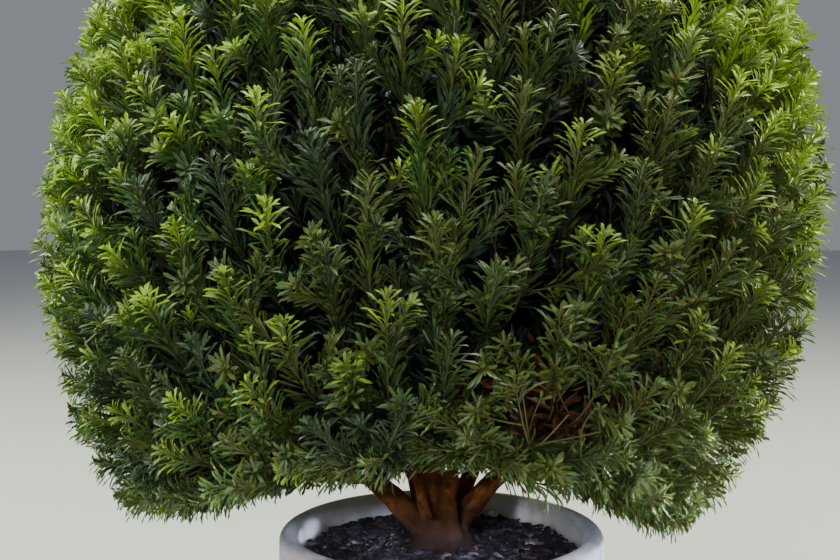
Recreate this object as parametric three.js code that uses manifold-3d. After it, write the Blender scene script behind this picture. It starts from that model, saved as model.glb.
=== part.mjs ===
// A clipped box ball in a round clay pot: a low stool that forks at the soil into seven stems, each of
// them carrying its own share of one ball of foliage. The ball's underside is lifted at the front and
// back, so that the stems show, and its skirt hangs level with the pot's rim at the two sides.
// Millimetres, +Z up. The origin is the centre of the pot's flat underside, and the front faces -Y.
import * as THREE from "three";
import { mergeVertices } from "three/addons/utils/BufferGeometryUtils.js";
import Module from "manifold-3d";

const wasm = await Module();
wasm.setup();

const clearance = 0.3; // between solids that meet
const weldDistance = 1e-3;

const pot = {
  height: 270,
  rimRadius: 152,
  mouthRadius: 133.5,
  baseRadius: 100,
  wall: 13,
  lipDepth: 38,
  bandDepth: 30,
  sides: 36,
};

const soil = { top: 252, edgeDrop: 5, seatRadius: 46 };

const crown = {
  radius: 352, // to the furthest leaf tips
  centreHeight: 570,
  centreOffset: -9, // the ball stands a little to the left of the pot
  topRise: 412,
  bottomDrop: 385,
  fullness: 2.15, // 2 is an ellipse, and more is squarer
  lean: 0.06, // sideways for each millimetre of height
};

// The underside: level at the sides, rising forwards and backwards, with an arch over the stems.
const underside = { sideHeight: 268, archRise: 68, archHalfWidth: 130, slope: 0.25, ridgeBlend: 40 };

const core = { share: 0.845, undersideLift: 24, roughness: 10, detail: 6 };
const cavity = { radius: 150, rise: 170, centreHeight: 395, around: 20, upwards: 12 };

// Heights on the pot's axis: the masses part at the hub, and their shoots point away from the fork.
const hubHeight = 350;
const forkHeight = 300;

const topMassAngle = 30; // degrees from upright, seen from the hub
const sideMasses = 6;

// Shoots end a little short of the outline, which their side leaves then reach.
const shoots = {
  onBall: 120,
  onUnderside: 16,
  reach: 0.985,
  rootShare: 0.7,
  clearOfUnderside: 34,
  radius: 4.2,
};
const leafPairs = { count: 2, spacing: 15, spread: 42 };
const leaf = { length: 58, width: 19, thickness: 3.6, widestAt: 0.58, thickestAt: 0.28 };
const tipLeafLength = 44;

const stool = { radius: 34, waist: 21, height: 30, lobes: 5, lobeDepth: 4.5, around: 25, upwards: 5 };

const barkColour = 0x6b4226;
const clayColour = 0xc9b8a4;
const soilColour = 0x2a2226;
const leafColours = [0x2f4a22, 0x3a5a26, 0x34522a, 0x41622a, 0x385626, 0x2e4c26, 0x4a6b2c];

const degrees = Math.PI / 180;
const goldenAngle = Math.PI * (3 - Math.sqrt(5));
const up = new THREE.Vector3(0, 0, 1);
const hub = new THREE.Vector3(0, 0, hubHeight);
const fork = new THREE.Vector3(0, 0, forkHeight);

// A repeatable number from 0 to 1 for each whole number.
function chance(index) {
  const wave = Math.sin(index * 127.1 + 74.7) * 43758.5453;
  return wave - Math.floor(wave);
}

// Solids

function solidOf(geometry) {
  const bare = geometry.index ? geometry.toNonIndexed() : geometry.clone();
  for (const name of Object.keys(bare.attributes)) {
    if (name !== "position") bare.deleteAttribute(name);
  }
  const merged = mergeVertices(bare, weldDistance);
  return new wasm.Manifold(
    new wasm.Mesh({
      numProp: 3,
      vertProperties: new Float32Array(merged.attributes.position.array),
      triVerts: new Uint32Array(merged.index.array),
    }),
  );
}

function geometryOf(solid) {
  const mesh = solid.getMesh();
  const positions = new Float32Array(mesh.numVert * 3);
  for (let i = 0; i < mesh.numVert; i++) {
    const first = i * mesh.numProp;
    positions.set(mesh.vertProperties.subarray(first, first + 3), i * 3);
  }
  const geometry = new THREE.BufferGeometry();
  geometry.setAttribute("position", new THREE.BufferAttribute(positions, 3));
  geometry.setIndex(fromTheTop(mesh.triVerts, positions));
  geometry.computeVertexNormals();
  return geometry;
}

// The triangles in order from the top of a solid down. The first one then always faces outwards at
// the solid's edge, for readers that take a solid's inside and outside from it.
function fromTheTop(corners, positions) {
  const triangles = [];
  for (let i = 0; i < corners.length; i += 3) triangles.push([...corners.slice(i, i + 3)]);
  const height = (triangle) => triangle.reduce((sum, corner) => sum + positions[3 * corner + 2], 0);
  return triangles.sort((a, b) => height(b) - height(a)).flat();
}

function largestPiece(solid) {
  return solid.decompose().reduce((a, b) => (b.volume() > a.volume() ? b : a));
}

// One closed piece: loose scraps are dropped, and a hollow that fusing seals is filled.
function settled(solid) {
  return largestPiece(solidOf(geometryOf(largestPiece(solid))));
}

function meshOf(name, geometry, colour, roughness) {
  const material = new THREE.MeshStandardMaterial({ color: colour, roughness, metalness: 0 });
  const mesh = new THREE.Mesh(geometry, material);
  mesh.name = name;
  return mesh;
}

// A closed tapering limb along a curve, from share `from` to share `to` of it, with flat ends.
function limbGeometry(curve, radiusAt, from, to, rings, sides) {
  const positions = [];
  const faces = [];
  const side = new THREE.Vector3(0.31, 0.95, 0.05).normalize();
  for (let i = 0; i <= rings; i++) {
    const share = from + ((to - from) * i) / rings;
    const centre = curve.getPointAt(share);
    const along = curve.getTangentAt(share);
    side.addScaledVector(along, -side.dot(along)).normalize();
    const other = new THREE.Vector3().crossVectors(along, side);
    for (let j = 0; j < sides; j++) {
      const angle = (2 * Math.PI * j) / sides;
      const point = centre
        .clone()
        .addScaledVector(side, radiusAt(share) * Math.cos(angle))
        .addScaledVector(other, radiusAt(share) * Math.sin(angle));
      positions.push(...point.toArray());
    }
  }
  for (let i = 0; i < rings; i++) {
    for (let j = 0; j < sides; j++) {
      const a = i * sides + j;
      const b = i * sides + ((j + 1) % sides);
      faces.push(a, b, b + sides, a, b + sides, a + sides);
    }
  }
  for (let j = 1; j < sides - 1; j++) {
    const last = rings * sides;
    faces.push(0, j + 1, j, last, last + j, last + j + 1);
  }
  const geometry = new THREE.BufferGeometry();
  geometry.setAttribute("position", new THREE.Float32BufferAttribute(positions, 3));
  geometry.setIndex(faces);
  return geometry;
}

// Pot and soil

function latheSolid(points, sides) {
  return solidOf(new THREE.LatheGeometry(points, sides).rotateX(Math.PI / 2));
}

// The clay wall's inner radius at a height, from the floor to the mouth.
function innerRadius(height) {
  const floorRadius = pot.baseRadius - pot.wall;
  const share = (height - pot.wall) / (pot.height - pot.lipDepth - pot.wall);
  return Math.min(pot.mouthRadius, floorRadius + (pot.mouthRadius - floorRadius) * share);
}

function makePot() {
  const lipFoot = pot.height - pot.lipDepth;
  const bandFoot = lipFoot - pot.bandDepth;
  const bandRadius = pot.rimRadius - 9;
  const lipRound = (pot.rimRadius - pot.mouthRadius) / 2;
  const outline = new THREE.Path();
  outline.moveTo(0, 0);
  outline.lineTo(pot.baseRadius - 3, 0);
  outline.lineTo(pot.baseRadius, 3);
  outline.lineTo(pot.baseRadius + 1, 15);
  outline.lineTo(pot.baseRadius - 1, 19);
  outline.lineTo(bandRadius - 6, bandFoot);
  outline.quadraticCurveTo(bandRadius - 1, bandFoot + 1, bandRadius - 1, bandFoot + 7);
  outline.lineTo(bandRadius, lipFoot - 5);
  outline.lineTo(bandRadius - 2, lipFoot);
  outline.quadraticCurveTo(pot.rimRadius, lipFoot, pot.rimRadius, lipFoot + 9);
  outline.lineTo(pot.rimRadius, pot.height - lipRound);
  outline.absarc(pot.rimRadius - lipRound, pot.height - lipRound, lipRound, 0, Math.PI, false);
  outline.lineTo(innerRadius(lipFoot), lipFoot);
  outline.lineTo(innerRadius(pot.wall), pot.wall);
  outline.lineTo(0, pot.wall);
  return latheSolid(thinned(outline.getPoints(3)), pot.sides);
}

// A path's points with repeats left out.
function thinned(points) {
  return points.filter((point, i) => i === 0 || point.distanceTo(points[i - 1]) > 0.5);
}

function makeSoil() {
  const edgeHeight = soil.top - soil.edgeDrop;
  const edgeRadius = innerRadius(edgeHeight) - clearance;
  const lipFoot = pot.height - pot.lipDepth;
  const floor = pot.wall + clearance;
  const outline = [
    new THREE.Vector2(0, floor),
    new THREE.Vector2(innerRadius(floor) - clearance - 1, floor),
    new THREE.Vector2(innerRadius(lipFoot) - clearance - 0.2, lipFoot),
    new THREE.Vector2(edgeRadius, edgeHeight - 2),
    new THREE.Vector2(edgeRadius - 4, edgeHeight),
    new THREE.Vector2((edgeRadius + soil.seatRadius) / 2, soil.top - 1),
    new THREE.Vector2(soil.seatRadius, soil.top),
    new THREE.Vector2(0, soil.top),
  ];
  return latheSolid(outline, pot.sides);
}

// Stems

// Each stem: where it leaves the stool, what it passes, where it ends, its two radii, and how soon it
// thins from the one to the other. Up to the fork it belongs to the stool, and the rest is a bough.
const stems = [
  { name: "left", foot: [-9, 0, 262], by: [-50, -3, 302], tip: [-118, 0, 366], radii: [13, 8] },
  { name: "right", foot: [10, 2, 262], by: [36, 3, 300], tip: [118, 2, 368], radii: [12, 8] },
  { name: "front_left", foot: [-8, -9, 264], by: [-24, -22, 318], tip: [-66, -104, 384], radii: [6, 4] },
  {
    name: "front_right",
    foot: [9, -13, 262],
    by: [9, -22, 330],
    tip: [62, -106, 388],
    radii: [13, 5],
    taper: 3,
  },
  { name: "back_left", foot: [-8, 13, 264], by: [-28, 34, 318], tip: [-64, 106, 386], radii: [10, 6] },
  { name: "back_right", foot: [9, 14, 264], by: [28, 36, 316], tip: [66, 106, 388], radii: [10, 6] },
  { name: "top", foot: [-4, 4, 266], by: [-9, 14, 392], tip: [-3, 4, 536], radii: [13, 9] },
];
const forkDistance = 50; // along each stem
const usualTaper = 1.6;

function stemCurve(stem) {
  const foot = new THREE.Vector3(...stem.foot);
  const by = new THREE.Vector3(...stem.by);
  const tip = new THREE.Vector3(...stem.tip);
  return new THREE.CatmullRomCurve3([foot, by, tip], false, "centripetal");
}

// Stems thin quickly above the stool and then slowly.
function stemRadius(stem) {
  const [start, end] = stem.radii;
  const taper = stem.taper ?? usualTaper;
  return (share) => end + (start - end) * Math.pow(1 - share, taper);
}

function makeBough(stem) {
  const curve = stemCurve(stem);
  const from = (forkDistance + clearance) / curve.getLength();
  return solidOf(limbGeometry(curve, stemRadius(stem), from, 1, 9, 8));
}

function makeStool() {
  const foot = soil.top + clearance;
  const positions = [];
  const faces = [];
  for (let i = 0; i <= stool.upwards; i++) {
    const share = i / stool.upwards;
    const radius = stool.waist + (stool.radius - stool.waist) * Math.pow(1 - share, 2);
    for (let j = 0; j < stool.around; j++) {
      const angle = (2 * Math.PI * j) / stool.around;
      const lobe = 1 + (stool.lobeDepth / stool.radius) * Math.cos(stool.lobes * angle) * (1 - share);
      const reach = radius * lobe;
      positions.push(reach * Math.cos(angle), reach * Math.sin(angle), foot + stool.height * share);
    }
  }
  for (let i = 0; i < stool.upwards; i++) {
    for (let j = 0; j < stool.around; j++) {
      const a = i * stool.around + j;
      const b = i * stool.around + ((j + 1) % stool.around);
      faces.push(a, b, b + stool.around, a, b + stool.around, a + stool.around);
    }
  }
  for (let j = 1; j < stool.around - 1; j++) {
    const last = stool.upwards * stool.around;
    faces.push(0, j + 1, j, last, last + j, last + j + 1);
  }
  const base = new THREE.BufferGeometry();
  base.setAttribute("position", new THREE.Float32BufferAttribute(positions, 3));
  base.setIndex(faces);

  const stubs = stems.map((stem) => {
    const curve = stemCurve(stem);
    const to = forkDistance / curve.getLength();
    return solidOf(limbGeometry(curve, stemRadius(stem), 0, to, 4, 8));
  });
  const belowSoil = new THREE.BoxGeometry(200, 200, 100).translate(0, 0, foot - 50);
  return wasm.Manifold.union([solidOf(base), ...stubs]).subtract(solidOf(belowSoil));
}

// Crown

// A point of the ball at an azimuth and latitude about its centre, at a share of its full size.
function ballPoint(azimuth, latitude, share = 1) {
  const below = latitude < 0;
  const power = below ? 2 / crown.fullness : 1;
  const across = crown.radius * Math.pow(Math.cos(latitude), power) * share;
  const rise = Math.pow(Math.abs(Math.sin(latitude)), power) * share;
  const height = below ? -crown.bottomDrop * rise : crown.topRise * rise;
  return new THREE.Vector3(
    crown.centreOffset + crown.lean * height + across * Math.cos(azimuth),
    across * Math.sin(azimuth),
    crown.centreHeight + height,
  );
}

function undersideHeight(x, y) {
  const arch = underside.archRise * Math.exp(-Math.pow(x / underside.archHalfWidth, 2));
  const away = Math.hypot(y, underside.ridgeBlend) - underside.ridgeBlend;
  return underside.sideHeight + arch + underside.slope * away;
}

// The dense inside of the crown: the ball at a share of its size, roughened, with its underside and the
// hollow round the stems cut away.
function makeCrownCore() {
  const rough = mergeVertices(bareOf(new THREE.IcosahedronGeometry(1, core.detail)), weldDistance);
  const place = rough.attributes.position;
  const point = new THREE.Vector3();
  for (let i = 0; i < place.count; i++) {
    point.fromBufferAttribute(place, i).normalize();
    const latitude = Math.asin(THREE.MathUtils.clamp(point.z, -1, 1));
    const share = core.share + (core.roughness / crown.radius) * (2 * chance(i) - 1);
    place.setXYZ(i, ...ballPoint(Math.atan2(point.y, point.x), latitude, share).toArray());
  }

  const wide = 2.4 * crown.radius;
  const cutter = new THREE.BoxGeometry(wide, wide, 1, 14, 14, 1);
  const corner = cutter.attributes.position;
  for (let i = 0; i < corner.count; i++) {
    const x = corner.getX(i);
    const y = corner.getY(i);
    corner.setZ(i, corner.getZ(i) > 0 ? undersideHeight(x, y) + core.undersideLift : 0);
  }

  const hollow = new THREE.SphereGeometry(1, cavity.around, cavity.upwards)
    .rotateX(Math.PI / 2)
    .scale(cavity.radius, cavity.radius, cavity.rise)
    .translate(0, 0, cavity.centreHeight);
  return solidOf(rough).subtract(solidOf(cutter)).subtract(solidOf(hollow));
}

function bareOf(geometry) {
  const bare = geometry.index ? geometry.toNonIndexed() : geometry;
  bare.deleteAttribute("normal");
  bare.deleteAttribute("uv");
  return bare;
}

// The space of each mass: a cone over the hub for the top one, and a wedge round it for each side one.
const massHeight = 900;
const coneSides = 36;

function topCone(drop) {
  const radius = massHeight * Math.tan(topMassAngle * degrees);
  const cone = new THREE.ConeGeometry(radius, massHeight, coneSides);
  cone.rotateX(-Math.PI / 2).translate(0, 0, hubHeight + massHeight / 2 - drop);
  return solidOf(cone);
}

function sideWedge(azimuth) {
  const reach = 3 * crown.radius;
  const half = Math.PI / sideMasses;
  const outline = new THREE.Shape();
  outline.moveTo(0, 0);
  outline.lineTo(reach * Math.cos(azimuth - half), reach * Math.sin(azimuth - half));
  outline.lineTo(reach * Math.cos(azimuth + half), reach * Math.sin(azimuth + half));
  const wedge = new THREE.ExtrudeGeometry(outline, { depth: 1200, bevelEnabled: false });
  const shift = clearance / 2 / Math.sin(half);
  return solidOf(wedge.translate(shift * Math.cos(azimuth), shift * Math.sin(azimuth), 0));
}

// How far a point lies inside a mass's own space. Outside it the answer is negative.
function depthInMass(stem, point) {
  const fromHub = point.clone().sub(hub);
  const across = Math.hypot(fromHub.x, fromHub.y);
  const cone = topMassAngle * degrees;
  const insideCone = fromHub.z * Math.sin(cone) - across * Math.cos(cone);
  if (stem.name === "top") return insideCone;
  const turn = Math.atan2(fromHub.y, fromHub.x) - massAzimuth(stem);
  const away = Math.abs(Math.atan2(Math.sin(turn), Math.cos(turn)));
  const insideWedge = across * Math.sin(Math.PI / sideMasses - away);
  return Math.min(insideWedge, -insideCone);
}

function clearOfPot(point) {
  return point.z > pot.height + 3 || Math.hypot(point.x, point.y) > pot.rimRadius + 3;
}

// Side masses stand evenly round the axis, each where its bough ends.
function massAzimuth(stem) {
  const step = (2 * Math.PI) / sideMasses;
  return Math.round(Math.atan2(stem.tip[1], stem.tip[0]) / step) * step;
}

// The higher a shoot stands, the more it turns upwards, most so at the front and back.
function shootDirection(tip) {
  const facing = (tip.y * tip.y) / (tip.x * tip.x + tip.y * tip.y);
  const lift = (0.15 + 1.3 * Math.pow(facing, 1.5)) * THREE.MathUtils.smoothstep(tip.z, 300, 450);
  return tip.clone().sub(fork).normalize().addScaledVector(up, lift).normalize();
}

// Where the shoots end and where they root, spread evenly over the ball and over its underside by the
// golden angle.
function plantShoots() {
  const planted = [];
  for (let i = 0; i < shoots.onBall; i++) {
    const latitude = Math.asin(1 - (2 * (i + 0.5)) / shoots.onBall);
    const tip = ballPoint(i * goldenAngle, latitude, shoots.reach);
    const root = hub.clone().lerp(tip, shoots.rootShare);
    const lowest = undersideHeight(tip.x, tip.y) + shoots.clearOfUnderside;
    if (tip.z > lowest) planted.push({ tip, root, direction: shootDirection(tip) });
  }
  const inner = cavity.radius + 24;
  const outer = crown.radius - 92;
  for (let i = 0; i < shoots.onUnderside; i++) {
    const share = (i + 0.5) / shoots.onUnderside;
    const reach = Math.sqrt(inner * inner + (outer * outer - inner * inner) * share);
    const outwards = new THREE.Vector3(Math.cos(i * goldenAngle), Math.sin(i * goldenAngle), 0);
    const tip = outwards.clone().multiplyScalar(reach);
    tip.z = undersideHeight(tip.x, tip.y);
    const root = tip.clone().addScaledVector(outwards, -14).addScaledVector(up, 92);
    const direction = outwards.clone().addScaledVector(up, -1.1).normalize();
    planted.push({ tip, root, direction });
  }
  return planted;
}

// A leaf of eight faces from its root along a direction. Its blade lies square to `face`.
function leafSolid(root, direction, face, length) {
  const side = new THREE.Vector3().crossVectors(direction, face).normalize();
  const top = new THREE.Vector3().crossVectors(side, direction).normalize();
  const wide = root.clone().addScaledVector(direction, length * leaf.widestAt);
  const thick = root.clone().addScaledVector(direction, length * leaf.thickestAt);
  const size = length / leaf.length;
  const corners = [
    root,
    wide.clone().addScaledVector(side, (leaf.width * size) / 2),
    thick.clone().addScaledVector(top, leaf.thickness / 2),
    wide.clone().addScaledVector(side, (-leaf.width * size) / 2),
    thick.clone().addScaledVector(top, -leaf.thickness / 2),
    root.clone().addScaledVector(direction, length).addScaledVector(top, -0.08 * length),
  ];
  const geometry = new THREE.BufferGeometry();
  const positions = corners.flatMap((corner) => corner.toArray());
  geometry.setAttribute("position", new THREE.Float32BufferAttribute(positions, 3));
  geometry.setIndex([0, 1, 2, 0, 2, 3, 0, 3, 4, 0, 4, 1, 5, 2, 1, 5, 3, 2, 5, 4, 3, 5, 1, 4]);
  const solid = solidOf(geometry);
  return { solid, corners };
}

// One shoot: a three-sided twig that ends in a leaf, with pairs of leaves set crosswise down it. The
// twig, and each of its leaves, is left out where it would leave its mass's own space.
function shootSolids(stem, { tip, root, direction }, number) {
  const margin = 1;
  const end = tip.clone().addScaledVector(direction, -tipLeafLength);
  const middle = end.clone().addScaledVector(direction, -0.45 * end.distanceTo(root));
  const curve = new THREE.CatmullRomCurve3([root, middle, end], false, "centripetal");
  const clearOfEdge = (point) => depthInMass(stem, point) > margin + 1.2 * shoots.radius;
  if (![root, middle, end].every(clearOfEdge)) return [];

  const radiusAt = (share) => shoots.radius * (1.15 - 0.5 * share);
  const solids = [solidOf(limbGeometry(curve, radiusAt, 0, 1, 2, 3))];
  const add = (foot, way, face, length) => {
    const made = leafSolid(foot, way, face, length);
    const fits = (corner) => depthInMass(stem, corner) > margin && clearOfPot(corner);
    if (made.corners.every(fits)) solids.push(made.solid);
  };
  const across = new THREE.Vector3(-direction.y, direction.x, 0.2 * chance(number));
  across.addScaledVector(direction, -across.dot(direction)).normalize();
  add(end.clone().addScaledVector(direction, -4), direction, across, tipLeafLength + 4);
  for (let pair = 0; pair < leafPairs.count; pair++) {
    const share = 1 - (pair * leafPairs.spacing + 5) / curve.getLength();
    const along = curve.getTangentAt(share);
    const turn = pair * 0.5 * Math.PI + chance(number * 7);
    for (const half of [0, Math.PI]) {
      const out = across.clone().applyAxisAngle(along, turn + half);
      const foot = curve.getPointAt(share).addScaledVector(out, 1);
      const open = (leafPairs.spread + 10 * chance(number * 31 + pair * 5 + half)) * degrees;
      const way = along.clone().multiplyScalar(Math.cos(open)).addScaledVector(out, Math.sin(open));
      add(foot, way, along, leaf.length * (0.85 + 0.25 * chance(number * 13 + pair * 3 + half)));
    }
  }
  return solids;
}

function makeMass(stem, crownCore, planted) {
  const space =
    stem.name === "top"
      ? crownCore.intersect(topCone(0))
      : crownCore.intersect(sideWedge(massAzimuth(stem))).subtract(topCone(2 * clearance));

  // The mass's own stem carries on from its bough into the core.
  const bough = stemCurve(stem);
  const tip = bough.getPointAt(1);
  const onward = bough.getTangentAt(1);
  const from = tip.clone().addScaledVector(onward, clearance);
  const into = tip.clone().addScaledVector(onward, 70);
  const radius = stem.radii[1] * 0.92;
  const inner = solidOf(limbGeometry(new THREE.LineCurve3(from, into), () => radius, 0, 1, 2, 8));

  const grown = planted.flatMap((shoot, number) => shootSolids(stem, shoot, number));
  return settled(wasm.Manifold.union([largestPiece(space), inner, ...grown]));
}

// The whole plant

const plant = new THREE.Group();
plant.add(meshOf("pot", geometryOf(makePot()), clayColour, 0.8));
plant.add(meshOf("soil", geometryOf(makeSoil()), soilColour, 0.95));
plant.add(meshOf("trunk", geometryOf(makeStool()), barkColour, 0.85));

const crownCore = makeCrownCore();
const planted = plantShoots();
stems.forEach((stem, i) => {
  plant.add(meshOf(`bough_${stem.name}`, geometryOf(makeBough(stem)), barkColour, 0.85));
  const mass = makeMass(stem, crownCore, planted);
  plant.add(meshOf(`foliage_${stem.name}`, geometryOf(mass), leafColours[i], 0.6));
});

export default plant;
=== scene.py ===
import math
import bpy
import numpy as np
from mathutils import Matrix, Vector


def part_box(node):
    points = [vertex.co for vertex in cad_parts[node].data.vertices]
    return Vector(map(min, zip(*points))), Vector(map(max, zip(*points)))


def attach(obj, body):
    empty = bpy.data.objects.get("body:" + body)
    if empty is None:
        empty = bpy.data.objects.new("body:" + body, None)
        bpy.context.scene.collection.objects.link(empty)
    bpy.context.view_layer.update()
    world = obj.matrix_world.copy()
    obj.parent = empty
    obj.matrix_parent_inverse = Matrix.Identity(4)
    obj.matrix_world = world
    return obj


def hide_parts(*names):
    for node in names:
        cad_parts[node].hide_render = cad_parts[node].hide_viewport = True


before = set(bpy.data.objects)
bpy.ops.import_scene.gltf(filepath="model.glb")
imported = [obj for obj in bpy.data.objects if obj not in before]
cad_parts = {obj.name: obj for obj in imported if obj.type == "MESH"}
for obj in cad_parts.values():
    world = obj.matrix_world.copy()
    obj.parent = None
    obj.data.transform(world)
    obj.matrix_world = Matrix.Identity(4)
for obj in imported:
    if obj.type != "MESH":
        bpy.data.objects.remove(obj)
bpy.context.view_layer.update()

# A clipped box ball in a clay pot. Metres, +Z up, and the front faces -Y.
# The crown grows by one rule: shoots point away from the fork of the stems, turn upwards the higher they
# stand, and end near the ball's outline. Their ends are spread over the ball by the golden angle.

goldenAngle = math.pi * (3 - math.sqrt(5))
hub = np.array([0, 0, 0.35])  # where the masses part
fork = np.array([0, 0, 0.30])  # what the shoots point away from
crown = {
    "radius": 0.356,
    "centreHeight": 0.57,
    "centreOffset": -0.009,
    "topRise": 0.400,  # the part reaches a little higher, as its shoots end short of the outline
    "bottomDrop": 0.385,
    "fullness": 2.15,  # 2 is an ellipse, and more is squarer
    "lean": 0.06,
}
underside = {
    "sideHeight": 0.268,
    "archRise": 0.055,
    "archHalfWidth": 0.155,
    "slope": 0.25,
    "ridgeBlend": 0.04,
    "fringeDrop": 0.014,  # it hangs lower again on both sides of the stems
    "fringeAt": 0.068,
    "fringeWidth": 0.026,
    "rightDrop": 0.015,  # and lower still on the right, past the pot's rim
    "rightFrom": (0.12, 0.18),
}
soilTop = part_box("soil")[1].z


# Camera, floor and light

view = {"place": (-0.02, -1.289, 0.6275), "pitch": 5.5, "lens": 60}


def addCamera():
    bpy.ops.object.camera_add(location=view["place"], rotation=(math.radians(90 - view["pitch"]), 0, 0))
    camera = bpy.context.object
    camera.data.lens = view["lens"]
    camera.data.sensor_width = 36
    camera.data.dof.use_dof = False
    bpy.context.scene.camera = camera


lamps = [
    # name, place, the height it aims at, size, spread in degrees, watts, colour
    ("sky", (-1.2, -1.8, 3.2), 0.5, 2.2, 180, 96, (0.90, 0.96, 1.0)),
    ("leftRim", (-2.4, 1.1, 2.0), 0.5, 1.5, 180, 112, (0.89, 1.0, 0.60)),
    ("rightRim", (2.4, 1.0, 1.9), 0.5, 1.5, 180, 118, (1.0, 0.94, 0.54)),
    ("above", (0.2, 0.3, 3.2), 0.5, 1.8, 180, 105, (1.0, 1.0, 0.84)),
    ("frontFill", (0.5, -2.4, 1.1), 0.5, 1.6, 180, 8, (1.0, 0.98, 0.94)),
    ("potFillLeft", (-0.9, -2.2, 0.78), 0.20, 0.24, 5, 0.21, (0.70, 0.78, 1.0)),
    ("potFillRight", (1.6, -1.7, 0.80), 0.20, 0.24, 5, 0.56, (0.62, 0.72, 1.0)),
]


def addLamps():
    for name, place, aim, size, spread, watts, colour in lamps:
        bpy.ops.object.light_add(type="AREA", location=place)
        lamp = bpy.context.object
        lamp.name = name
        lamp.data.energy = watts
        lamp.data.size = size
        lamp.data.spread = math.radians(spread)
        lamp.data.color = colour
        away = Vector(place) - Vector((0, 0, aim))
        lamp.rotation_euler = away.to_track_quat("Z", "Y").to_euler()
    world = bpy.data.worlds.new("studio")
    world.use_nodes = True
    world.node_tree.nodes["Background"].inputs["Color"].default_value = (0.78, 0.84, 0.92, 1)
    world.node_tree.nodes["Background"].inputs["Strength"].default_value = 0.3
    bpy.context.scene.world = world


def addFloor():
    bpy.ops.mesh.primitive_circle_add(vertices=128, radius=7.5, fill_type="NGON")
    floor = bpy.context.object
    floor.name = "floor"
    material = bpy.data.materials.new("paleFloor")
    material.use_nodes = True
    shader = material.node_tree.nodes["Principled BSDF"]
    shader.inputs["Base Color"].default_value = (0.45, 0.47, 0.51, 1)
    shader.inputs["Roughness"].default_value = 0.75
    floor.data.materials.append(material)


# Materials

def nodeMaker(tree):
    def make(kind, **values):
        node = tree.nodes.new(kind)
        for key, value in values.items():
            if hasattr(node, key):
                setattr(node, key, value)
            else:
                node.inputs[key].default_value = value
        return node
    return make


def speckleGroup():
    # Two colours mixed by a coarse and a fine noise, with the noise as a height
    tree = bpy.data.node_groups.new("speckle", "ShaderNodeTree")
    for way, name, kind in (
        ("INPUT", "Colour A", "Color"), ("INPUT", "Colour B", "Color"), ("INPUT", "Scale", "Float"),
        ("INPUT", "Fine Share", "Float"), ("OUTPUT", "Colour", "Color"), ("OUTPUT", "Mask", "Float"),
        ("OUTPUT", "Height", "Float"),
    ):
        tree.interface.new_socket(name, in_out=way, socket_type="NodeSocket" + kind)
    make = nodeMaker(tree)
    given = make("NodeGroupInput")
    out = make("NodeGroupOutput")
    place = make("ShaderNodeTexCoord")
    coarse = make("ShaderNodeTexNoise", Detail=4.0, Roughness=0.6)
    fine = make("ShaderNodeTexNoise", Detail=6.0, Roughness=0.7)
    finer = make("ShaderNodeMath", operation="MULTIPLY")
    finer.inputs[1].default_value = 7.3
    blend = make("ShaderNodeMix", data_type="FLOAT")
    ramp = make("ShaderNodeMapRange", **{"From Min": 0.36, "From Max": 0.64})
    colour = make("ShaderNodeMix", data_type="RGBA")
    link = tree.links.new
    link(place.outputs["Object"], coarse.inputs["Vector"])
    link(place.outputs["Object"], fine.inputs["Vector"])
    link(given.outputs["Scale"], coarse.inputs["Scale"])
    link(given.outputs["Scale"], finer.inputs[0])
    link(finer.outputs[0], fine.inputs["Scale"])
    link(given.outputs["Fine Share"], blend.inputs[0])
    link(coarse.outputs["Fac"], blend.inputs[2])
    link(fine.outputs["Fac"], blend.inputs[3])
    link(blend.outputs[0], ramp.inputs["Value"])
    link(ramp.outputs["Result"], colour.inputs[0])
    link(given.outputs["Colour A"], colour.inputs[6])
    link(given.outputs["Colour B"], colour.inputs[7])
    link(colour.outputs[2], out.inputs["Colour"])
    link(ramp.outputs["Result"], out.inputs["Mask"])
    link(blend.outputs[0], out.inputs["Height"])
    return tree


speckle = speckleGroup()


def speckledMaterial(name, dark, light, scale, fineShare, roughness, bump, bumpDepth):
    material = bpy.data.materials.new(name)
    material.use_nodes = True
    tree = material.node_tree
    shader = tree.nodes["Principled BSDF"]
    shader.inputs["Roughness"].default_value = roughness
    grain = tree.nodes.new("ShaderNodeGroup")
    grain.node_tree = speckle
    grain.inputs["Colour A"].default_value = (*dark, 1)
    grain.inputs["Colour B"].default_value = (*light, 1)
    grain.inputs["Scale"].default_value = scale
    grain.inputs["Fine Share"].default_value = fineShare
    relief = tree.nodes.new("ShaderNodeBump")
    relief.inputs["Strength"].default_value = bump
    relief.inputs["Distance"].default_value = bumpDepth
    tree.links.new(grain.outputs["Colour"], shader.inputs["Base Color"])
    tree.links.new(grain.outputs["Height"], relief.inputs["Height"])
    tree.links.new(relief.outputs["Normal"], shader.inputs["Normal"])
    return material


def shiny(material, level):
    material.node_tree.nodes["Principled BSDF"].inputs["Specular IOR Level"].default_value = level
    return material


leafTints = [
    # name, darker, lighter: painted shade for the deep leaves, then from the oldest leaves to the newest, and
    # dead ones.
    # The newest two also give painted rim light along the ball's edges
    ("leafPaintedShade", (0.007, 0.013, 0.005), (0.013, 0.024, 0.009)),
    ("leafBlue", (0.032, 0.064, 0.024), (0.063, 0.112, 0.046)),
    ("leafGreen", (0.052, 0.092, 0.020), (0.096, 0.150, 0.036)),
    ("leafOlive", (0.094, 0.118, 0.018), (0.158, 0.186, 0.032)),
    ("leafVivid", (0.050, 0.130, 0.020), (0.100, 0.215, 0.036)),
    ("leafFreshAndRimLight", (0.150, 0.232, 0.022), (0.245, 0.340, 0.040)),
    ("leafTipAndRimLight", (0.280, 0.440, 0.020), (0.400, 0.580, 0.036)),
    ("leafDry", (0.120, 0.042, 0.018), (0.260, 0.095, 0.040)),
]
# shade is the painted shade tint, for leaves deep inside the ball
shade, blue, green, olive, vivid, fresh, newTip, dry = range(len(leafTints))


def leafMaterials():
    made = []
    for name, dark, light in leafTints:
        made.append(shiny(speckledMaterial(name, dark, light, 90, 0.3, 0.34, 0.08, 0.0002), 0.6))
    return made


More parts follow.
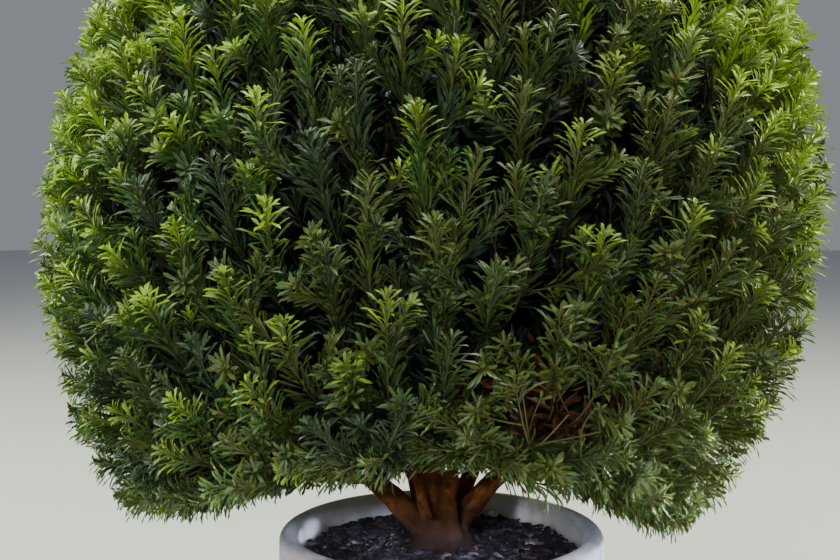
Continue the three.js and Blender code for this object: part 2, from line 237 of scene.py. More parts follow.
# Meshes from arrays

def joinedMesh(name, points, faces, materials, tones=None, smooth=True):
    mesh = bpy.data.meshes.new(name)
    corners = faces.shape[1]
    mesh.vertices.add(len(points))
    mesh.vertices.foreach_set("co", points.astype(np.float32).ravel())
    mesh.loops.add(faces.size)
    mesh.loops.foreach_set("vertex_index", faces.astype(np.int32).ravel())
    mesh.polygons.add(len(faces))
    mesh.polygons.foreach_set("loop_start", np.arange(0, faces.size, corners, dtype=np.int32))
    mesh.polygons.foreach_set("use_smooth", np.full(len(faces), smooth))
    for material in materials:
        mesh.materials.append(material)
    if tones is not None:
        mesh.polygons.foreach_set("material_index", tones.astype(np.int32))
    mesh.update(calc_edges=True)
    piece = bpy.data.objects.new(name, mesh)
    bpy.context.scene.collection.objects.link(piece)
    return piece


def unit(vectors):
    return vectors / np.maximum(np.linalg.norm(vectors, axis=-1, keepdims=True), 1e-9)


# One tube for each row of `paths` (count, rings, 3), with `radii` (count, rings), as points and triangles
def tubes(paths, radii, sides):
    count, rings, _ = paths.shape
    along = unit(np.gradient(paths, axis=1))
    guide = np.where(np.abs(along[:, :1, 2:]) > 0.9, np.array([1.0, 0, 0]), np.array([0, 0, 1.0]))
    side = unit(np.cross(along, np.broadcast_to(guide, along.shape)))
    other = np.cross(along, side)
    angle = 2 * np.pi * np.arange(sides) / sides
    ring = side[:, :, None] * np.cos(angle)[:, None] + other[:, :, None] * np.sin(angle)[:, None]
    points = paths[:, :, None] + ring * radii[:, :, None, None]
    first = np.arange(rings - 1)[:, None] * sides + np.arange(sides)
    second = np.arange(rings - 1)[:, None] * sides + (np.arange(sides) + 1) % sides
    quads = np.stack([first, second, second + sides, first + sides], -1).reshape(-1, 4)
    triangles = np.concatenate([quads[:, [0, 1, 2]], quads[:, [0, 2, 3]]])
    cap = np.array([[(rings - 1) * sides, (rings - 1) * sides + k, (rings - 1) * sides + k + 1]
                    for k in range(1, sides - 1)])
    foot = np.array([[0, k + 1, k] for k in range(1, sides - 1)])
    triangles = np.concatenate([triangles, cap, foot])
    faces = triangles[None] + np.arange(count)[:, None, None] * rings * sides
    return points.reshape(-1, 3), faces.reshape(-1, 3)


# Crown

masses = ["left", "right", "front_left", "front_right", "back_left", "back_right", "top"]
massAzimuth = {
    "left": 180, "right": 0, "front_left": -120, "front_right": -60, "back_left": 120, "back_right": 60,
}
topMassAngle = 30  # from upright, seen from the hub
heldIn = 0.020  # how much further in ends stay at the front and back, where upright shoots' leaves stand out


def ballPoints(azimuth, latitude, share):
    below = latitude < 0
    power = np.where(below, 2 / crown["fullness"], 1)
    across = crown["radius"] * np.cos(latitude) ** power * share
    rise = np.abs(np.sin(latitude)) ** power * share
    height = np.where(below, -crown["bottomDrop"], crown["topRise"]) * rise
    return np.stack([
        crown["centreOffset"] + crown["lean"] * height + across * np.cos(azimuth),
        across * np.sin(azimuth),
        crown["centreHeight"] + height,
    ], -1)


def undersideHeight(x, y):
    arch = underside["archRise"] * np.exp(-((x / underside["archHalfWidth"]) ** 2))
    beside = (np.abs(x) - underside["fringeAt"]) / underside["fringeWidth"]
    fringe = underside["fringeDrop"] * np.exp(-(beside**2))
    away = np.hypot(y, underside["ridgeBlend"]) - underside["ridgeBlend"]
    right = underside["rightDrop"] * smoothstep(x, *underside["rightFrom"])
    return underside["sideHeight"] + arch - fringe - right + underside["slope"] * away


def massOf(points):
    fromHub = points - hub
    across = np.hypot(fromHub[:, 0], fromHub[:, 1])
    upright = np.degrees(np.arctan2(across, fromHub[:, 2]))
    azimuth = np.degrees(np.arctan2(fromHub[:, 1], fromHub[:, 0]))
    sector = np.round(azimuth / 60).astype(int) % 6
    byAzimuth = {round(massAzimuth[name] / 60) % 6: masses.index(name) for name in massAzimuth}
    chosen = np.array([byAzimuth[s] for s in range(6)])[sector]
    return np.where(upright < topMassAngle, masses.index("top"), chosen)


def smoothstep(x, low, high):
    t = np.clip((x - low) / (high - low), 0, 1)
    return t * t * (3 - 2 * t)


# Points spread evenly over the ball, above its underside
def overBall(count, share, start, spare):
    i = np.arange(count)
    latitude = np.arcsin(1 - 2 * (i + 0.5) / count)
    points = ballPoints(i * goldenAngle + start, latitude, share)
    keep = points[:, 2] > undersideHeight(points[:, 0], points[:, 1]) + spare
    return points[keep]


def overUnderside(count, inner, outer, rise):
    i = np.arange(count)
    reach = np.sqrt(inner**2 + (outer**2 - inner**2) * (i + 0.5) / count)
    x = reach * np.cos(i * goldenAngle)
    y = reach * np.sin(i * goldenAngle)
    return np.stack([x, y, undersideHeight(x, y) + rise], -1)


# How far out points lie, as a share of the ball's full size
def crownShare(points):
    height = points[:, 2] - crown["centreHeight"]
    x = points[:, 0] - crown["centreOffset"] - crown["lean"] * height
    across = np.hypot(x, points[:, 1]) / crown["radius"]
    rise = np.where(height < 0, -height / crown["bottomDrop"], height / crown["topRise"])
    power = np.where(height < 0, crown["fullness"], 2)
    return (across**power + rise**power) ** (1 / power)


# 1 at the front and back, 0 at the sides
def facing(points):
    return points[:, 1] ** 2 / (points[:, 0] ** 2 + points[:, 1] ** 2 + 1e-6)


# Ends that would poke out of the ball, or hang below its underside, are brought back
def heldInside(points, way, beyond):
    ends = points + way * beyond
    share = crownShare(ends)[:, None]
    most = 1 - heldIn * facing(ends)[:, None]
    ends = np.where(share > most, hub + (ends - hub) * most / share, ends)
    ends[:, 2] = np.maximum(ends[:, 2], undersideHeight(ends[:, 0], ends[:, 1]) + growth["lowRise"])
    return ends - way * beyond


# Shoots point away from the fork. The higher they stand, the more they turn upwards, most so at the front
# and back
def tipDirections(points):
    lift = (0.15 + 1.3 * facing(points) ** 1.5) * smoothstep(points[:, 2], 0.30, 0.45)
    return unit(unit(points - fork) + lift[:, None] * np.array([0, 0, 1.0]))


lowFan = {"strength": 0.9, "fullBelow": 0.38, "goneAbove": 0.52, "middle": 0.05}


# Low down at the front and back, shoots fan out to the left and right, and in turns in the middle
def fan(points):
    x = points[:, 0]
    turns = np.where(np.arange(len(x)) % 2 == 0, 1, -1)
    side = np.where(np.abs(x) < lowFan["middle"], turns, np.sign(x))
    low = 1 - smoothstep(points[:, 2], lowFan["fullBelow"], lowFan["goneAbove"])
    share = lowFan["strength"] * facing(points) * low
    return (side * share)[:, None] * np.array([1.0, 0, 0])


growth = {
    "branches": 44,
    "branchShare": 0.48,
    "twigs": 280,
    "twigShare": 0.70,
    "leaders": 560,
    "sideShoots": (0.48, 0.62, 0.78),  # where they leave a leader, as shares of it
    "sideLength": 0.060,
    "sideAngle": 32,
    "lowLeaders": 96,
    "lowRing": (0.125, 0.262),
    "lowRise": 0.022,
    "lowSpread": (-0.012, 0.024),
    "sideRings": 6,
    "leafReach": 0.012,  # how far leaves reach past the tip of their shoot
    "fillers": 1060,
    "fillerShare": 0.84,
    "innerSprays": 800,
    "innerShare": 0.64,
    "ceilingSprays": 150,  # over the hollow round the stems
}
rng = np.random.default_rng(5)


def jitter(points, spread):
    return points + rng.normal(0, spread, points.shape)


# Quadratic curves from `start` to `end` that arrive along `direction`
def sprout(start, end, direction, rings, pull=0.55):
    reach = np.linalg.norm(end - start, axis=1, keepdims=True)
    turn = end - direction * reach * pull
    t = np.linspace(0, 1, rings)[None, :, None]
    return start[:, None] * (1 - t) ** 2 + 2 * turn[:, None] * t * (1 - t) + end[:, None] * t**2


# Paths that would sag below the crown's underside run along it
def keptUp(paths, rise=growth["lowRise"]):
    spread = rng.uniform(*growth["lowSpread"], (len(paths), 1))
    lowest = undersideHeight(paths[..., 0], paths[..., 1]) + rise + spread
    paths[..., 2] = np.maximum(paths[..., 2], lowest)
    return paths


# For each child, its nearest parent as seen from the hub, in the same mass where it has one
def parentOf(children, parents):
    nearness = unit(children - hub) @ unit(parents - hub).T
    same = massOf(children)[:, None] == massOf(parents)[None]
    return np.argmax(nearness + np.where(same, 0.15, 0), axis=1)


# Trunk, stems and boughs

stems = [
    # name, foot, by, tip, radii, as far as each one's mass
    ("left", (-0.009, 0, 0.262), (-0.050, -0.003, 0.302), (-0.118, 0, 0.366), (0.013, 0.008)),
    ("right", (0.010, 0.002, 0.262), (0.036, 0.003, 0.300), (0.118, 0.002, 0.368), (0.012, 0.008)),
    ("front_left", (-0.008, -0.009, 0.264), (-0.024, -0.022, 0.318), (-0.066, -0.104, 0.384), (0.006, 0.004)),
    ("front_right", (0.009, -0.013, 0.262), (0.009, -0.022, 0.330), (0.062, -0.106, 0.388), (0.013, 0.005)),
    ("back_left", (-0.008, 0.013, 0.264), (-0.028, 0.034, 0.318), (-0.064, 0.106, 0.386), (0.010, 0.006)),
    ("back_right", (0.009, 0.014, 0.264), (0.028, 0.036, 0.316), (0.066, 0.106, 0.388), (0.010, 0.006)),
    ("top", (-0.004, 0.004, 0.266), (-0.009, 0.014, 0.392), (-0.003, 0.004, 0.536), (0.013, 0.009)),
]
usualTaper = 1.6
stemTaper = {"front_right": 3}  # it thins sooner than the others
stool = {
    "radius": 0.034, "waist": 0.021, "height": 0.030, "lobes": 5, "lobeDepth": 0.0045,
    "around": 30, "upwards": 11, "clearance": 0.0003,
}
bark = {"voxel": 0.0014, "stubs": 9}
barkRelief = [
    # name, size, depth
    ("ridge", 0.02, 0.0016),
    ("grain", 0.005, 0.0005),
]


# A point at share `t` of the centripetal curve through a stem's three points
def stemPoint(stem, t):
    a, b, c = (Vector(stem[k]) for k in (1, 2, 3))
    first = (b - a).length ** 0.5
    second = (c - b).length ** 0.5
    split = first / (first + second)
    tangent = ((b - a) / first - (c - a) / (first + second) + (c - b) / second)
    if t < split:
        u = t / split
        start = b - a - (tangent * first - (b - a)) / 2
        pair = (a, start, tangent * first, b)
    else:
        u = (t - split) / (1 - split)
        end = c - b + ((c - b) - tangent * second) / 2
        pair = (b, tangent * second, end, c)
    p, m, n, q = pair
    return (p * (2 * u**3 - 3 * u**2 + 1) + m * (u**3 - 2 * u**2 + u)
            + n * (u**3 - u**2) + q * (3 * u**2 - 2 * u**3))


def stemPath(stem, rings):
    return np.array([stemPoint(stem, t) for t in np.linspace(0, 1, rings)])


def stemTubes():
    parts = []
    rings = 22
    t = np.linspace(0, 1, rings)
    for stem in stems:
        name, (thick, slim) = stem[0], stem[4]
        path = stemPath(stem, rings)
        radii = slim + (thick - slim) * (1 - t) ** stemTaper.get(name, usualTaper)
        wave = 0.0018 * np.sin(t * 9 + len(name))
        path[:, 0] += wave * np.sin(np.pi * t)
        parts.append(tubes(path[None], radii[None], 12))
    return parts


# Short dead twigs that leave the stems
def stubTubes():
    parts = []
    for i in range(bark["stubs"]):
        stem = stems[i % 6]
        start = np.array(stemPoint(stem, rng.uniform(0.35, 0.8)))
        way = unit(np.array([*rng.normal(0, 1, 2), 0.5]))
        end = start + way * rng.uniform(0.018, 0.045)
        path = sprout(start[None], end[None], unit(way + np.array([0, 0, 0.5]))[None], 6)
        parts.append(tubes(path, np.linspace(0.0032, 0.0016, 6)[None], 8))
    return parts


# The lobed root crown, as one closed tube with a flat foot
def stoolTube(foot):
    around, upwards = stool["around"], stool["upwards"]
    rise = np.linspace(0, 1, upwards + 1)
    angle = 2 * np.pi * np.arange(around) / around
    flare = stool["waist"] + (stool["radius"] - stool["waist"]) * (1 - rise) ** 2
    depth = stool["lobeDepth"] / stool["radius"]
    lobe = 1 + depth * np.cos(stool["lobes"] * angle)[None] * (1 - rise)[:, None]
    reach = flare[:, None] * lobe
    height = np.broadcast_to((foot + stool["height"] * rise)[:, None], reach.shape)
    ring = np.stack([reach * np.cos(angle), reach * np.sin(angle), height], -1).reshape(-1, 3)
    rows = np.arange(upwards)[:, None] * around
    first = (rows + np.arange(around)).ravel()
    second = (rows + (np.arange(around) + 1) % around).ravel()
    walls = [np.stack([first, second, second + around], -1),
             np.stack([first, second + around, first + around], -1)]
    top = upwards * around
    steps = range(1, around - 1)
    caps = [[0, k + 1, k] for k in steps] + [[top, top + k, top + k + 1] for k in steps]
    return ring, np.concatenate([*walls, np.array(caps)])


# Adds a modifier to the active piece and applies it
def applied(piece, name, kind, **settings):
    modifier = piece.modifiers.new(name, kind)
    for key, value in settings.items():
        setattr(modifier, key, value)
    bpy.ops.object.modifier_apply(modifier=modifier.name)


def addWood():
    foot = soilTop + stool["clearance"]
    parts = stemTubes() + stubTubes() + [stoolTube(foot)]
    points = np.concatenate([p for p, _ in parts])
    shift = np.cumsum([0] + [len(p) for p, _ in parts[:-1]])
    faces = np.concatenate([f + s for (_, f), s in zip(parts, shift)])
    wood = joinedMesh("stemsAndBoughs", points, faces, [barkMaterial()])
    bpy.ops.object.select_all(action="DESELECT")
    wood.select_set(True)
    bpy.context.view_layer.objects.active = wood
    applied(wood, "fuse", "REMESH", mode="VOXEL", voxel_size=bark["voxel"], use_smooth_shade=True)
    applied(wood, "ease", "SMOOTH", factor=0.5, iterations=4)
    for name, size, depth in barkRelief:
        texture = bpy.data.textures.new(name, "CLOUDS")
        texture.noise_scale = size
        applied(wood, name, "DISPLACE", texture=texture, strength=depth * 2, mid_level=0.5)
    # The foot stays on the soil
    place = np.empty(len(wood.data.vertices) * 3, np.float32)
    wood.data.vertices.foreach_get("co", place)
    place = place.reshape(-1, 3)
    place[:, 2] = np.maximum(place[:, 2], foot)
    wood.data.vertices.foreach_set("co", place.ravel())
    wood.data.update()
    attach(wood, "root")
    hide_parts("trunk", *["bough_" + name for name in masses])
    print("stems and boughs:", len(wood.data.polygons), "faces")


def barkMaterial():
    dark, light = (0.045, 0.014, 0.004), (0.20, 0.066, 0.014)
    material = shiny(speckledMaterial("bark", dark, light, 26, 0.45, 0.8, 0.8, 0.0022), 0.06)
    tree = material.node_tree
    make = nodeMaker(tree)
    link = tree.links.new
    # Darker and greyer down at the root crown
    grain = next(n for n in tree.nodes if n.type == "GROUP")
    place = make("ShaderNodeTexCoord")
    split = make("ShaderNodeSeparateXYZ")
    low = make("ShaderNodeMapRange", **{"From Min": soilTop + 0.012, "From Max": soilTop + 0.056})
    mix = make("ShaderNodeMix", data_type="RGBA")
    mix.inputs[6].default_value = (0.026, 0.012, 0.009, 1)
    link(place.outputs["Object"], split.inputs[0])
    link(split.outputs["Z"], low.inputs["Value"])
    link(low.outputs["Result"], mix.inputs[0])
    link(grain.outputs["Colour"], mix.inputs[7])
    link(mix.outputs[2], tree.nodes["Principled BSDF"].inputs["Base Color"])
    return material


# Foliage

# One leaf: points on the midrib and the edges, as shares of its length and half width, its faces, and which
# of them are its tip
smallLeaf = (
    np.array([[0, 0], [0.52, 0], [1, 0], [0.42, 0.62], [0.88, 1.0], [0.42, -0.62], [0.88, -1.0]]),
    np.array([[0, 1, 3], [1, 4, 3], [1, 2, 4], [0, 5, 1], [1, 5, 6], [1, 6, 2]]),
    [2, 5],
)
plainLeaf = (
    np.array([[0, 0], [0.55, 0], [1, 0], [0.6, 1], [0.6, -1]]),
    np.array([[0, 1, 3], [1, 2, 3], [0, 4, 1], [1, 4, 2]]),
    [],
)

# "open" is the leaf's angle off its shoot in degrees, at the shoot's foot and at its tip, and "bend" is how
# far its end turns outwards there: lower leaves curl up along their shoot, and the last ones arch over.
# "vigour" sets the share of shoots that are in growth
leader = {
    "length": 0.118, "pairs": 50, "leaf": 0.0230, "width": 0.0030, "open": (56, 20), "bend": (-0.30, 0.62),
    "shape": smallLeaf, "vigour": 0.75, "outer": True,
}
sideShoot = {
    "length": 0.056, "pairs": 22, "leaf": 0.0190, "width": 0.0029, "open": (50, 20), "bend": (-0.20, 0.55),
    "shape": smallLeaf, "vigour": 0.55, "outer": True,
}
# Fillers sit deeper and take tones two steps darker, as painted shade
filler = {
    "length": 0.070, "pairs": 13, "leaf": 0.0260, "width": 0.0052, "open": (60, 24), "bend": (0.25, 0.15),
    "shape": plainLeaf, "vigour": 0, "outer": False,
}
# Inner sprays are large leaves all in the painted shade tint, a dark backing for the shade deep inside the
# ball
innerSpray = {
    "length": 0.110, "pairs": 8, "leaf": 0.0400, "width": 0.0135, "open": (78, 31), "bend": (0.15, 0.10),
    "shape": plainLeaf, "vigour": 0, "outer": False,
}
tipHighlightShare = 0.45  # the share of leaves whose tip is a tone paler, a painted highlight where the tip catches the light

# Low down at the front right, outer shoots are bare, and only dry leaves hang inside
barePatch = {"place": (0.072, -0.290, 0.424), "size": (0.043, 0.085, 0.025), "dryReach": 2.0}


# How far points lie from the bare patch's middle. 1 is its edge
def fromBarePatch(points):
    return np.linalg.norm((points - barePatch["place"]) / barePatch["size"], axis=-1)


# Leaves in crosswise pairs along the last `length` of each path. Gives points, faces and a tone a face
def leavesAlong(paths, kind, tones):
    outline, leafFaces, tipFaces = kind["shape"]
    count = len(paths)
    pairs = kind["pairs"]
    steps = np.linalg.norm(np.diff(paths, axis=1), axis=2)
    travelled = np.concatenate([np.zeros((count, 1)), np.cumsum(steps, axis=1)], axis=1)
    total = travelled[:, -1:]
    leafy = np.minimum(kind["length"] * rng.uniform(0.8, 1.15, (count, 1)), total * 0.96)
    k = (np.arange(pairs) + 0.5) / pairs  # 0 at the lowest pair, 1 at the tip
    wanted = total - leafy * (1 - k[None]) ** 1.12
    place = np.empty((count, pairs, 3))
    along = np.empty((count, pairs, 3))
    slope = np.gradient(paths, axis=1)
    for axis in range(3):
        for i in range(count):
            place[i, :, axis] = np.interp(wanted[i], travelled[i], paths[i, :, axis])
            along[i, :, axis] = np.interp(wanted[i], travelled[i], slope[i, :, axis])
    along = unit(along)
    guide = unit(rng.normal(0, 1, (count, 1, 3)))
    first = unit(np.cross(along, np.broadcast_to(guide, along.shape)))
    second = np.cross(along, first)

    turn = (np.arange(pairs) * np.pi / 2)[None, :, None] + np.array([0, np.pi])[None, None]
    turn = turn + rng.normal(0, 0.55, (count, pairs, 2))
    out = first[:, :, None] * np.cos(turn)[..., None] + second[:, :, None] * np.sin(turn)[..., None]
    low, high = np.radians(kind["open"])
    openness = (low + (high - low) * k**1.2)[None, :, None] * rng.uniform(0.8, 1.2, (count, pairs, 2))
    ahead = np.broadcast_to(along[:, :, None], out.shape)
    way = ahead * np.cos(openness)[..., None] + out * np.sin(openness)[..., None]
    back = out * np.cos(openness)[..., None] - ahead * np.sin(openness)[..., None]
    side = np.cross(ahead, out)

    size = 0.72 + 0.28 * np.sin(np.pi * np.clip(k * 0.9 + 0.12, 0, 1)) - 0.42 * np.clip((k - 0.8) / 0.2, 0, 1)
    length = kind["leaf"] * size[None, :, None] * rng.uniform(0.82, 1.14, (count, pairs, 2))
    width = kind["width"] * (0.75 + 0.25 * size[None, :, None]) * rng.uniform(0.85, 1.15, (count, pairs, 2))
    low, high = kind["bend"]
    bend = (low + (high - low) * smoothstep(k, 0.30, 0.85))[None, :, None]
    bend = bend * rng.uniform(0.4, 1.4, (count, pairs, 2))

    t = outline[:, 0]
    w = outline[:, 1]
    reach = length[..., None] * t
    spread = width[..., None] / 2 * w
    lift = -bend[..., None] * length[..., None] * t**2 + 0.32 * width[..., None] * np.abs(w)
    points = (place[:, :, None, None]
              + way[..., None, :] * reach[..., None]
              + side[..., None, :] * spread[..., None]
              - back[..., None, :] * lift[..., None])
    number = count * pairs * 2
    faces = leafFaces[None] + np.arange(number)[:, None, None] * len(outline)
    perFace = np.repeat(tones.reshape(-1, 1), len(leafFaces), axis=1)
    # Painted highlight: the tip faces of some leaves take the next paler tone
    tipHighlight = (rng.random(number) < tipHighlightShare)[:, None]
    perFace[:, tipFaces] = np.where(tipHighlight, np.minimum(perFace[:, tipFaces] + 1, newTip), perFace[:, tipFaces])
    away = np.repeat(fromBarePatch(place).reshape(-1), 2)
    if kind["outer"]:
        faces, perFace = faces[away > 1], perFace[away > 1]
    else:
        perFace[away < barePatch["dryReach"]] = dry
    return points.reshape(-1, 3), faces.reshape(-1, 3), perFace.reshape(-1)


toning = {
    "greenShare": 0.30,
    "vividShare": 0.62,
    "leastSun": 0.25,
    "leastGrowth": 0.35,
    # bursts into new-tip tones grow likelier towards the ball's edge, as painted rim light
    "leastBurst": 0.05,
    "mostBurst": 0.72,
    "dullBelow": 0.35,  # shares of a shoot's leafy length, where its leaves change
    "youngFrom": 0.55,
    "freshFrom": 0.74,
    "tipFrom": 0.80,
    "rimFrom": (0.955, 0.90),  # where the ball's left and right edge begin
    "rimLight": (0.20, 0.36),  # how much further down a shoot fresh leaves start there, as painted rim light
}


# The tone of each leaf: its shoot's own, and fresher towards the tip of a shoot that is in growth, which
# shoots that point straight out at the front and back aren't. Near the ball's left, right and top edges many
# more shoots take fresh and new-tip tones, as painted rim light
def leafTones(paths, kind):
    tips = paths[:, -1]
    straightOut = np.abs(unit(tips - paths[:, -2])[:, 1])
    onLeft = tips[:, 0] < 0
    count, pairs = len(tips), kind["pairs"]
    # Warmer to the right, as painted warm sunlight from that side, and warmer low down, and livelier up on
    # the left
    warm = smoothstep(tips[:, 0] + 0.7 * (0.52 - tips[:, 2]) + rng.normal(0, 0.10, count), -0.24, 0.16)
    edge = np.hypot(tips[:, 0], 1.15 * np.maximum(tips[:, 2] - 0.47, 0)) / crown["radius"]
    edge = np.clip(edge, 0, 1)
    base = np.where(rng.random(count) < warm, olive, np.where(rng.random(count) < 0.5, green, blue))
    base = np.where(rng.random(count) < toning["greenShare"], green, base)
    lush = smoothstep(0.6 * (tips[:, 2] - 0.5) - tips[:, 0], 0.02, 0.38)
    base = np.where(rng.random(count) < toning["vividShare"] * lush, vivid, base)

    sunlit = toning["leastSun"] + (1 - toning["leastSun"]) * smoothstep(tips[:, 2], 0.34, 0.50)
    rim = smoothstep(edge, np.where(onLeft, *toning["rimFrom"]), 0.995)
    # Painted rim light: shoots near the ball's edges are far likelier to take fresh tones
    growthAndRimLight = toning["leastGrowth"] + (1 - toning["leastGrowth"]) * edge**2 + 0.5 * rim
    growingAndRimLit = rng.random(count) < kind["vigour"] * growthAndRimLight * sunlit * (straightOut < 0.7)
    burstingAndRimLit = growingAndRimLit & (rng.random(count) < toning["leastBurst"] + toning["mostBurst"] * edge**3)

    k = (np.arange(pairs) + 0.5) / pairs
    tone = np.repeat(base[:, None], pairs, axis=1)
    # The lowest leaves of a shoot are a tone darker, and the darkest of them take the painted shade tint
    lower = np.where(tone == vivid, green, np.maximum(tone - 1, shade))
    tone = np.where((k < toning["dullBelow"])[None] & (rng.random((count, pairs)) < 0.6), lower, tone)
    young = np.where(lush > 0.4, vivid, olive)[:, None]
    tone = np.where((k > toning["youngFrom"])[None] & growingAndRimLit[:, None], np.maximum(tone, young), tone)
    rimLightReach = (rim * np.where(onLeft, *toning["rimLight"]))[:, None]
    tone = np.where((k > toning["freshFrom"] - rimLightReach) & growingAndRimLit[:, None], fresh, tone)
    tone = np.where((k > toning["tipFrom"] - rimLightReach) & burstingAndRimLit[:, None], newTip, tone)
    return np.repeat(tone[:, :, None], 2, axis=2)


def addPieces(name, points, faces, tones, materials, mass, slot, most=190000):
    perPiece = math.ceil(len(faces) / math.ceil(len(faces) / most))
    made = []
    for number, start in enumerate(range(0, len(faces), perPiece)):
        part = faces[start:start + perPiece]
        used = np.unique(part)
        renumber = np.zeros(used.max() + 1, int)
        renumber[used] = np.arange(len(used))
        label = f"{name}_{mass}" + (f"_{number + 1}" if len(faces) > most else "")
        piece = joinedMesh(label, points[used], renumber[part], materials, tones[start:start + perPiece],
                           smooth=slot == "bark")
        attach(piece, "root")
        made.append(piece)
    return made


# Shoots that leave their leader on all sides and turn back towards its way
def addSideShoots(paths):
    starts, ends, ways = [], [], []
    rings = paths.shape[1]
    for number, share in enumerate(growth["sideShoots"]):
        at = (rings - 1) * np.clip(share + rng.normal(0, 0.025, len(paths)), 0, 0.97)
        low = at.astype(int)
        start = paths[np.arange(len(paths)), low]
        following = paths[np.arange(len(paths)), low + 1]
        along = unit(following - start)
        start = start + (following - start) * (at - low)[:, None]
        across = unit(np.cross(along, np.array([0.3, 0.2, 1.0])))
        other = np.cross(along, across)
        turn = number * goldenAngle + np.arange(len(paths)) * 0.7
        out = across * np.cos(turn)[:, None] + other * np.sin(turn)[:, None]
        outside = unit(start - hub)
        out = unit(out - 0.6 * np.sum(out * outside, axis=1, keepdims=True) * outside)
        angle = np.radians(growth["sideAngle"] + rng.normal(0, 7, len(paths)))[:, None]
        length = growth["sideLength"] * (1.15 - 0.12 * number) * rng.uniform(0.75, 1.2, (len(paths), 1))
        end = start + (along * np.cos(angle) + out * np.sin(angle)) * length
        way = unit(along + 0.35 * out)
        starts.append(start)
        ends.append(heldInside(end, way, growth["leafReach"]))
        ways.append(way)
    starts, ends, ways = (np.concatenate(rows) for rows in (starts, ends, ways))
    return keptUp(sprout(starts, ends, ways, growth["sideRings"], 0.45))


def growCrown():
    branchTips = jitter(overBall(growth["branches"], growth["branchShare"], 0.4, -0.5), 0.008)
    branchTips = branchTips[branchTips[:, 2] > 0.33]
    twigTips = jitter(overBall(growth["twigs"], growth["twigShare"], 1.1, -0.03), 0.008)
    twigTips = twigTips[twigTips[:, 2] > undersideHeight(twigTips[:, 0], twigTips[:, 1]) + 0.03]
    tips = overBall(growth["leaders"], 1, 0.0, 0.0)
    tips = tips - unit(tips - hub) * rng.uniform(-0.004, 0.014, (len(tips), 1))
    lowTips = overUnderside(growth["lowLeaders"], *growth["lowRing"], growth["lowRise"])
    deep = jitter(overBall(growth["fillers"], growth["fillerShare"], 2.3, 0.030), 0.010)
    inner = jitter(overBall(growth["innerSprays"], growth["innerShare"], 0.9, 0.06), 0.020)
    inner = inner[inner[:, 2] > undersideHeight(inner[:, 0], inner[:, 1]) + 0.07]
    inner = np.concatenate([inner, jitter(overUnderside(growth["ceilingSprays"], 0.01, 0.16, 0.085), 0.012)])

    # From the boughs' tips outwards, each level leaves the one before
    boughTips = np.array([stem[3] for stem in stems])
    branchWay = unit(unit(branchTips - hub) + np.array([0, 0, 0.25]))
    branches = sprout(boughTips[parentOf(branchTips, boughTips)], branchTips, branchWay, 9)
    twigs = sprout(branchTips[parentOf(twigTips, branchTips)], twigTips, tipDirections(twigTips), 7, 0.3)

    outwards = unit(lowTips * np.array([1, 1, 0]))
    lowWay = unit(outwards + np.array([0, 0, -0.15]))
    way = np.concatenate([tipDirections(tips), lowWay])
    tips = np.concatenate([tips, lowTips])
    way = unit(way + rng.normal(0, 0.10, tips.shape) + fan(tips))
    tips = heldInside(tips, way, growth["leafReach"])
    leaders = keptUp(sprout(twigTips[parentOf(tips - way * 0.12, twigTips)], tips, way, 10, 0.72))
    sides = addSideShoots(leaders)
    fillWay = unit(tipDirections(deep) + rng.normal(0, 0.3, deep.shape))
    fillers = keptUp(sprout(twigTips[parentOf(deep, twigTips)], deep, fillWay, 6), 0.034)
    innerWay = unit(tipDirections(inner) + rng.normal(0, 0.4, inner.shape))
    inners = keptUp(sprout(branchTips[parentOf(inner, branchTips)], inner, innerWay, 6), 0.06)

    wood = [
        # paths, radius at the start and the end, sides, tint
        (branches, 0.0058, 0.0036, 6, 0),
        (twigs, 0.0034, 0.0019, 4, 0),
        (leaders, 0.0017, 0.0006, 3, 1),
        (sides, 0.0009, 0.0005, 3, 1),
        (fillers, 0.0014, 0.0006, 3, 0),
        (inners, 0.0016, 0.0006, 3, 0),
    ]
    sprays = [  # the deeper ones are darker, as painted shade: fillers two tones down, inner sprays all in the painted shade tint
        (leaders, leader, leafTones(leaders, leader)),
        (sides, sideShoot, leafTones(sides, sideShoot)),
        (fillers, filler, np.clip(leafTones(fillers, filler) - 2, shade, blue)),
        (inners, innerSpray, np.minimum(leafTones(inners, innerSpray), shade)),
    ]

    materials = leafMaterials()
    twigTints = [
        speckledMaterial("twigBark", (0.050, 0.026, 0.010), (0.16, 0.085, 0.032), 60, 0.4, 0.75, 0.3, 0.0005),
        speckledMaterial("twigGreen", (0.090, 0.088, 0.025), (0.17, 0.150, 0.045), 60, 0.4, 0.6, 0.2, 0.0003),
    ]
    total = 0
    for index, mass in enumerate(masses):
        grown = []
        for paths, kind, tones in sprays:
            own = massOf(paths[:, -1]) == index
            grown.append(leavesAlong(paths[own], kind, tones[own]))
        leafPieces = addPieces("leaves", *joined(grown), materials, mass, "foliage")
        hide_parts("foliage_" + mass)

        limbs = []
        for paths, start, end, sideCount, tint in wood:
            own = paths[massOf(paths[:, -1]) == index]
            radii = np.broadcast_to(np.linspace(start, end, own.shape[1]), own.shape[:2])
            points, faces = tubes(own, radii, sideCount)
            limbs.append((points, faces, np.full(len(faces), tint)))
        addPieces("twigs", *joined(limbs), twigTints, mass, "bark")
        total += sum(len(f) for _, f, _ in grown + limbs)
    print("crown:", len(tips), "leaders,", len(sides), "side shoots,", total, "triangles")


# Several (points, faces, tones) as one
def joined(parts):
    shift = np.cumsum([0] + [len(points) for points, _, _ in parts[:-1]])
    points = np.concatenate([points for points, _, _ in parts])
    faces = np.concatenate([faces + start for (_, faces, _), start in zip(parts, shift)])
    return points, faces, np.concatenate([tones for _, _, tones in parts])


# Pot

pot = {
    "mouthRadius": 0.1335,
    "baseRadius": 0.100,
    "wall": 0.013,
    "lipDepth": 0.038,
    "bandDepth": 0.030,
    "bandStep": 0.009,
    "steps": 128,
}


def arc(centre, radius, start, end, steps):
    angles = np.radians(np.linspace(start, end, steps))
    return [(centre[0] + radius * math.cos(a), centre[1] + radius * math.sin(a)) for a in angles]


